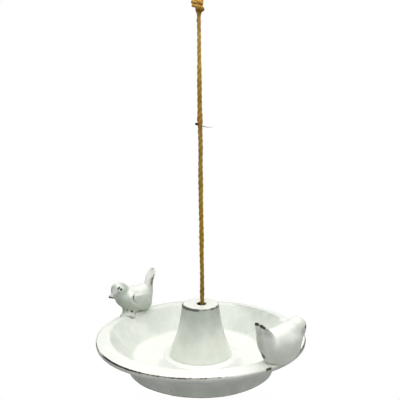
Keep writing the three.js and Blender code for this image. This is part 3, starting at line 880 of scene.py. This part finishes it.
# Birds. Two small solid birds pinched from clay, each stuck to the rim on a mound of clay and
# glazed with the dish. Round body, upright tail, short beak, and a wing that is only a raised
# front edge. The glaze is worn off the tail's edge and the beak's tip.
MIDDLE_HEIGHT = 19.5  # mm up a bird, about which it is pitched
ROUNDED_SHARE = 0.917  # what the rounding leaves of the tail's block
WING_FRONT = 5.8  # mm that the front edge of a wing lies forward at its middle height
WING_MIDDLE = 22
WING_CURVE = 0.07
# Sizes are along a bird's own forward, left and up directions, over the rim's outer edge.
# Lumps: centre and half sizes. Tail, from the rump up: height, how far back its front and rear
# faces lie, half width. Beak: root, tip, radius of the root. Marks are worn places, one of them a
# painted shadow. The next list holds painted shade, places painted grey, and the last painted light,
# places painted whiter: start, end, reach, strength. Thin: the painted shade on slopes that face
# down, how strong it is at most, the slopes where it starts and is full, how much less underneath.
BIRDS = {
    "bird_left": {
        "radius": 112.4, "angle": 138.6, "heading": 208, "pitch": 0, "wing": 1.0,
        "thin": (1.0, -1.4, 0.25, 0.0),
        "lumps": [
            ((-1, 0, 18.4), (22.5, 16, 16.2)), ((13, 0, 21.6), (11.9, 13, 13)),
            ((6.5, 0, 11.8), (10.5, 11, 9.5)), ((-10, 0, 19), (14, 14.8, 16)),
            ((-10, 0, 10.5), (13.8, 13.2, 9.5)), ((6, 0, 27.5), (13, 10.5, 7)),
            ((19.2, 0, 31.4), (11.2, 10.9, 10.2)), ((22.3, 0, 34.3), (7.7, 8.7, 7)),
            ((15, 0, 25.5), (11, 11.6, 10)), ((20, 0, 24), (7.2, 7.5, 6)), ((23.6, 0, 28), (7.2, 6.8, 5.8)),
            ((12.5, 7.5, -1.5), (10, 10.5, 4.5)), ((6.5, 2, 4), (10, 9.5, 6)), ((11.5, 11, -2), (10, 7, 4)),
        ],
        "tail": [
            (8, 8, 19, 9), (14, 9, 22.5, 10.5), (22, 11, 24, 10.5), (29, 13.5, 24.3, 9.5),
            (34, 16.2, 24.2, 8), (38, 17.4, 24.4, 8.5), (43, 18.3, 25.4, 9.4), (47.5, 21.2, 27, 8.8),
            (51, 23.8, 28, 6.5), (54, 26.6, 28.6, 3.6),
        ],
        "beak": ((24, 0, 27), (33.6, 0, 24), 7),
        "eyes": [(21.0, 10.1, 35.2), (21.0, -10.1, 35.2)],
        "marks": [
            ((33.2, 0, 24.1), (32.2, 0, 24.2), 2.2, 1.4), ((32.2, 1.3, 24.1), (27.8, 3.7, 22.8), 1.3, 1.0),
            ((32.2, -1.3, 24.1), (27.8, -3.7, 22.8), 1.3, 1.0),
            ((24.4, 8.5, 36.1), (21.9, 8.4, 38.3), 1.3, 1.3),
            ((24.4, -8.5, 36.1), (21.9, -8.4, 38.3), 1.3, 1.3),
            # The second mark on this line, on the foot's mound over the lip, is a painted shadow.
            ((23.9, 9.6, 31.2), (23.2, 9.8, 30.4), 1.0, 0.7), ((16.5, 14.4, 0.9), (9, 17, -0.6), 2.4, 0.62),
            ((-24.5, 8.6, 47), (-21.5, 9, 41), 1.8, 0.62), ((-21.3, 8.9, 43), (-20.7, 8.5, 36), 2.3, 0.68),
            ((-27.4, 3, 52.4), (-27.2, -3, 52.4), 1.3, 0.65), ((13.3, 8, 6.9), (12.4, 8.4, 6.4), 1.5, 0.75),
            ((7.8, 10.9, 5.5), (7.3, 11, 5.2), 1.6, 1.2),
        ],
        # Painted shade: patches painted grey.
        "painted_shades": [
            ((28, 3, 38), (27.4, 6, 34.5), 6, 0.9), ((15.3, 5.6, 39), (11, 7, 37), 7, 1.1),
            ((-18.6, 10.6, 27), (-17.5, 12, 12), 9, 1.1), ((-26.4, 8.2, 50), (-22.4, 9.2, 36), 3.2, 1.0),
        ],
        # Painted light: highlights painted whiter.
        "painted_light": [
            ((28, 5, 32), (30.4, 1.3, 28.5), 4.2, 1.0), ((9.2, 9.9, 29.6), (8.2, 12.4, 26.7), 4.2, 0.9),
            ((-17.5, 0, 39), (-21.5, 1, 50), 8, 1.0),
        ],
    },
    "bird_right": {
        "radius": 115.0, "angle": 316.8, "heading": 30, "pitch": 7, "wing": 0.15,
        "thin": (0.12, -1.1, 0.0, 0.8),
        "lumps": [
            ((-1, 0, 18.8), (23, 16.2, 18.6)), ((12.2, 0, 22), (11.8, 12.6, 12.8)),
            ((8.8, -1.2, 12), (11, 11.8, 10.5)), ((-10, 0, 20.8), (14, 15, 16.8)),
            ((-11.6, 0.9, 10.8), (12.9, 12.8, 10.8)), ((8, 0.8, 29.6), (14, 11.5, 8.4)),
            ((19.4, 0.6, 30.9), (11.6, 10.9, 10)), ((20.5, 0, 25.6), (8.6, 9.2, 6.4)),
            ((14, 0.4, 27), (12, 11.5, 10)), ((-1, -3, 7), (15.5, 10.6, 10)), ((-3, 0, 0), (13, 6, 4)),
        ],
        "tail": [
            (8, 8, 20.6, 10), (14, 8.5, 25.6, 12), (22, 9.5, 27.3, 12.4), (29, 11, 27.4, 12),
            (35, 13.5, 27.3, 11), (39.5, 17, 27.1, 10.4), (43.8, 20.7, 27, 9.9), (47.3, 23.4, 27, 9.4),
        ],
        "beak": ((22.4, 2.6, 28), (32, 6, 24.2), 7.4),
        "eyes": [(25.4, -8.3, 31), (20.6, 11.4, 31)],
        "marks": [
            ((32, 6, 24.3), (31.4, 5.8, 24.4), 1.7, 1.4), ((31.2, 6.2, 23.4), (26, 5.2, 21.8), 0.9, 0.85),
            ((31.4, 4.8, 23.4), (26.6, 2.4, 21.8), 0.9, 0.85),
            ((-26.4, 7.8, 46.3), (-26.4, 1.6, 47.3), 2.1, 1.4),
            ((-26, -3.6, 47), (-25.6, -7.6, 46.4), 2.1, 1.4), ((-25, -9, 44.4), (-14, -9.8, 37.6), 1.6, 0.62),
            ((-25.6, 1.4, 14.6), (-25.2, 0.2, 12.6), 2.7, 1.6),
            ((-24, 0.4, 10.4), (-23.9, -0.7, 9.2), 1.2, 0.7), ((-25.8, 8.6, 43), (-25.4, 10.4, 27), 1.5, 0.5),
            ((-26.2, 5, 44), (-26, 4, 36), 1.8, 0.45), ((-26, -3, 44), (-26, -3.6, 38), 2.0, 0.45),
        ],
        # Painted shade: patches painted grey.
        "painted_shades": [
            ((-24, -8.5, 41), (-18, -9.6, 37), 6, 1.0), ((21, -9.5, 28.5), (19, -10.2, 26.5), 4.8, 0.9),
            ((26, -5, 36.5), (22, -7.5, 34.5), 6, 0.25), ((-27.5, 1, 40), (-27, 1, 14), 10, 1.0),
            ((-6.1, -14.8, 24.8), (0.3, -16, 20.9), 10, 0.3),
        ],
        # Painted light: highlights painted whiter.
        "painted_light": [
            ((-15, -9.7, 33.5), (-15.6, -13, 25.1), 5, 0.9), ((5, -12, 29), (15.5, -10, 26.5), 6.5, 0.55),
        ],
    },
}


def add_ball(centre, half_sizes):
    bpy.ops.mesh.primitive_uv_sphere_add(segments=48, ring_count=24, radius=MM, location=(0, 0, 0))
    set_mode("EDIT")
    bpy.ops.transform.resize(value=half_sizes, center_override=(0, 0, 0))
    bpy.ops.transform.translate(value=[v * MM for v in centre])
    set_mode("OBJECT")
    return bpy.context.object


def add_tail(sections):
    """A block drawn up from the rump section by section and rounded, which draws it in a little."""
    cage = []
    for up, front, rear, half in sections:
        deep = (rear - front) / (2 * ROUNDED_SHARE) + 0.5
        cage.append((up, -(front + rear) / 2, deep, half / ROUNDED_SHARE + 0.5))
    up, middle, deep, wide = cage[0]
    bpy.ops.mesh.primitive_cube_add(size=2 * MM, location=(0, 0, 0))
    tail = bpy.context.object
    set_mode("EDIT")
    bpy.ops.mesh.select_all(action="SELECT")
    bpy.ops.transform.resize(value=(deep, wide, 0.5), center_override=(0, 0, 0))
    bpy.ops.transform.translate(value=(middle * MM, 0, up * MM))
    set_mode("OBJECT")
    deselect(tail.data)
    max(tail.data.polygons, key=lambda face: face.center.z).select = True
    set_mode("EDIT")
    bpy.ops.mesh.select_mode(type="FACE")
    for (low, past, past_deep, past_wide), (high, coming, deep, wide) in zip(cage, cage[1:]):
        bpy.ops.mesh.extrude_region_move(TRANSFORM_OT_translate={"value": (0, 0, (high - low) * MM)})
        bpy.ops.transform.resize(
            value=(deep / past_deep, wide / past_wide, 1), center_override=(past * MM, 0, high * MM))
        bpy.ops.transform.translate(value=((coming - past) * MM, 0, 0))
    set_mode("OBJECT")
    modified(tail, "SUBSURF", levels=3, render_levels=3)
    return tail


def add_beak(root, tip, radius):
    start, end = Vector(root) * MM, Vector(tip) * MM
    bpy.ops.mesh.primitive_cone_add(
        vertices=24, radius1=radius * MM, radius2=0.9 * MM, depth=(end - start).length)
    beak = bpy.context.object
    turn = (end - start).to_track_quat("Z", "Y").to_matrix().to_4x4()
    beak.data.transform(Matrix.Translation((start + end) / 2) @ turn)
    set_mode("EDIT")
    bpy.ops.mesh.select_all(action="SELECT")
    bpy.ops.mesh.subdivide(number_cuts=3)
    set_mode("OBJECT")
    return beak


def melt(pieces, grain, easing):
    """Joins lumps of clay into one skin of even grain and smooths it."""
    bpy.ops.object.select_all(action="DESELECT")
    for piece in pieces:
        piece.select_set(True)
    bpy.context.view_layer.objects.active = pieces[0]
    bpy.ops.object.join()
    skin = bpy.context.object
    modified(skin, "REMESH", mode="VOXEL", voxel_size=grain * MM)
    modified(skin, "SMOOTH", factor=0.5, iterations=easing)
    return skin


def near_line(place, start, end):
    """How far a place is from a straight stretch."""
    along = end - start
    share = min(1, max(0, (place - start).dot(along) / max(along.length_squared, 1e-12)))
    return (place - start - along * share).length


def press_details(mesh, eyes, wing):
    """Presses the wings' front edges, the tail's hollow and the eye sockets. Gives the painted shade of the
    creases.
    """
    crease_shades = []
    for vertex, normal in [(v, v.normal.copy()) for v in mesh.vertices]:
        forward, left, up = vertex.co / MM
        crease = 0
        if abs(left) > 6:
            behind = WING_FRONT - WING_CURVE * (up - WING_MIDDLE) ** 2 - forward
            tall = ease(up, 15.5, 18.5) * (1 - ease(up, 25, 28)) * wing
            raised = ease(behind, -0.3, 1.2) * (1 - ease(behind, 4, 20))
            crease = math.exp(-((behind + 0.9) / 0.9) ** 2) * tall
            shoulder = math.exp(-((behind + 3.6) / 1.8) ** 2) * 0.7 * ease(up, 20, 24)
            vertex.co += normal * ((raised + shoulder) * tall - 1.1 * crease) * MM
            # Painted shade in the crease, darkest at its top.
            crease *= 0.55 + 0.4 * ease(up, 19, 25)
        crease_shades.append(crease)
        if up > 33 and forward < -14 and normal.x > 0.2:
            vertex.co.x -= math.exp(-(left / 6.5) ** 2 - ((up - 47) / 7) ** 2) * 3.4 * MM
        for eye in eyes:
            away = (vertex.co / MM - Vector(eye)).length
            vertex.co -= normal * 0.5 * math.exp(-(away / 1.7) ** 2) * MM
    return crease_shades


def covered_at(place, marks, core=0.45):
    """How strongly a list of marks, painted shade or painted light covers a place. Their borders are ragged.
    """
    most = 0
    for start, end, reach, strength in marks:
        away = near_line(place, Vector(start), Vector(end))
        if away < reach * 2:
            ragged = 1 + 0.4 * noise.noise(place * 0.7) + 0.25 * noise.noise(place * 1.9)
            most = max(most, strength * ragged * (1 - ease(away / reach, core, 1.3)))
    return min(1, most)


def painted(name):
    """Gives the function that puts out a mask painted on a mesh."""
    return lambda tree: read_attribute(tree, name)


# Bird masks: the first holds wear and painted shade, the second painted shade, the third painted light.
bird_glaze = glazed(
    "bird_glaze", painted("wear_and_shade"), painted("thin"), painted("painted_light"), White=(0.87, 0.89, 0.82, 1), Cloud=0.4)
for name, stand in BIRDS.items():
    bpy.ops.object.select_all(action="DESELECT")
    clay = melt([add_ball(*lump) for lump in stand["lumps"]], grain=0.9, easing=26)
    clay = melt([clay, add_tail(stand["tail"])], grain=0.8, easing=12)
    bird = melt([clay, add_beak(*stand["beak"])], grain=0.62, easing=3)
    bird.name = name + "_body"
    mesh = bird.data
    mesh.name = name + "_body"
    crease_shades = press_details(mesh, stand["eyes"], stand["wing"])
    mesh.update()
    eye_marks = [(eye, (eye[0] - 0.3, eye[1], eye[2] + 0.1), 1.8, 1.6) for eye in stand["eyes"]]
    wear_and_shade, thin, painted_light = [], [], []
    # Painted shade on slopes that face down: its strength, where it starts and is full, how much less
    # underneath.
    most, level, upright, under = stand["thin"]
    for vertex, crease in zip(mesh.vertices, crease_shades):
        place, facing_down = vertex.co / MM, -vertex.normal.z
        # The worn marks and the painted shade in the wing's crease share one mask.
        wear_and_shade.append(max(crease, covered_at(place, stand["marks"] + eye_marks)))
        # Painted shade: grey on slopes that face down and under the painted shade patches, spared on the
        # tail's front.
        tail_front = ease(place.z, 33, 38) * ease(vertex.normal.x, -0.3, 0.2)
        slope = most * ease(facing_down, level, upright)
        slope *= (1 - under * ease(facing_down, 0, 0.7)) * (1 - tail_front)
        shaded = max(slope, covered_at(place, stand["painted_shades"], core=-0.2))
        # Painted light: whiter where highlights fall, with no painted shade there.
        painted_light.append(covered_at(place, stand["painted_light"], core=-0.2))
        thin.append(shaded * (1 - painted_light[-1]))
    for label, values in (("wear_and_shade", wear_and_shade), ("thin", thin), ("painted_light", painted_light)):
        mesh.attributes.new(label, "FLOAT", "POINT").data.foreach_set("value", values)
    middle = Matrix.Translation((0, 0, MIDDLE_HEIGHT * MM))
    tip = middle @ Matrix.Rotation(math.radians(-stand["pitch"]), 4, "Y") @ middle.inverted()
    turn = Matrix.Rotation(math.radians(stand["heading"]), 4, "Z")
    angle = math.radians(stand["angle"])
    at = hung((stand["radius"] * math.cos(angle), stand["radius"] * math.sin(angle), 0))
    mesh.transform(Matrix.Translation(at) @ turn @ tip)
    mesh.shade_smooth()
    mesh.materials.append(bird_glaze)
    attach(bird, "waterer")
    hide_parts(name)

# Studio. A white sweep of paper far under the hanging dish, one broad soft light overhead, a
# weaker one in front on the right, and a pale room all round, brighter above, at its sides and
# behind the dish.
FLOOR_HEIGHT = -0.8
FLOOR_SIZE = 12
TOP_LIGHT_AT = (0.06, -0.06, 0.55)
SIDE_LIGHT_AT = Vector((0.25, -1.0, 0.05))
DISH_MIDDLE = Vector((0, 0, -0.42))
bpy.ops.object.select_all(action="DESELECT")
bpy.ops.mesh.primitive_plane_add(size=FLOOR_SIZE, location=(0, 0, 0))
floor = bpy.context.object
floor.name = "floor"
set_mode("EDIT")
bpy.ops.transform.translate(value=(0, 0, FLOOR_HEIGHT))
set_mode("OBJECT")
paper, tree = new_material("white_paper")
seen = shade_node(tree, "LightPath").outputs["Is Camera Ray"]
tone = blend(tree, seen, (0.52, 0.52, 0.52, 1), (0.95, 0.95, 0.95, 1))
lit = shade_node(tree, "BsdfDiffuse", {"Color": tone})
glow = shade_node(tree, "Emission", {"Color": (1, 1, 1, 1), "Strength": 1.0})
away = measured(tree, "LENGTH", place_on(tree))
share = reckon(tree, "MULTIPLY", seen, span(tree, away, 0.8, 1.05, 0.75, 1.0))
sheet = shade_node(tree, "MixShader", {0: share, 1: lit.outputs[0], 2: glow.outputs[0]})
shade_node(tree, "OutputMaterial", {"Surface": sheet.outputs[0]})
floor.data.materials.append(paper)

world = bpy.data.worlds.new("studio")
world.use_nodes = True
bpy.context.scene.world = world
tree = world.node_tree
tree.nodes.clear()
seen = shade_node(tree, "LightPath").outputs["Is Camera Ray"]
facing = shade_node(tree, "TexCoord").outputs["Generated"]
outlook = shade_node(tree, "SeparateXYZ", {"Vector": facing}).outputs
room = ramp(tree, span(tree, outlook["Z"], -1.0, 1.0), [
    (0.0, (0.15, 0.15, 0.15)), (0.5, (0.17, 0.17, 0.17)), (1.0, (0.45, 0.45, 0.45))])
windows = span(tree, reckon(tree, "ABSOLUTE", outlook["X"]), 0.2, 1.0, 0.0, 0.18)
backdrop = span(tree, outlook["Y"], 0.2, 1.0, 0.0, 0.7)
room = blend(tree, strongest(tree, [windows, backdrop]), room, (0.8, 0.8, 0.8, 1))
room_light = shade_node(tree, "Background", {"Color": room, "Strength": 1.0})
white = shade_node(tree, "Background", {"Color": (1, 1, 1, 1), "Strength": 1.0})
both = shade_node(tree, "MixShader", {0: seen, 1: room_light.outputs[0], 2: white.outputs[0]})
shade_node(tree, "OutputWorld", {"Surface": both.outputs[0]})


def add_light(name, size, energy, placed):
    light = bpy.data.lights.new(name, "AREA")
    light.size = size
    light.energy = energy
    add_object(name, light).matrix_world = placed


aimed = (SIDE_LIGHT_AT - DISH_MIDDLE).to_track_quat("Z", "Y").to_matrix().to_4x4()
add_light("top_light", size=1.4, energy=12.2, placed=Matrix.Translation(TOP_LIGHT_AT))
add_light("side_light", size=0.8, energy=1.8, placed=Matrix.Translation(SIDE_LIGHT_AT) @ aimed)
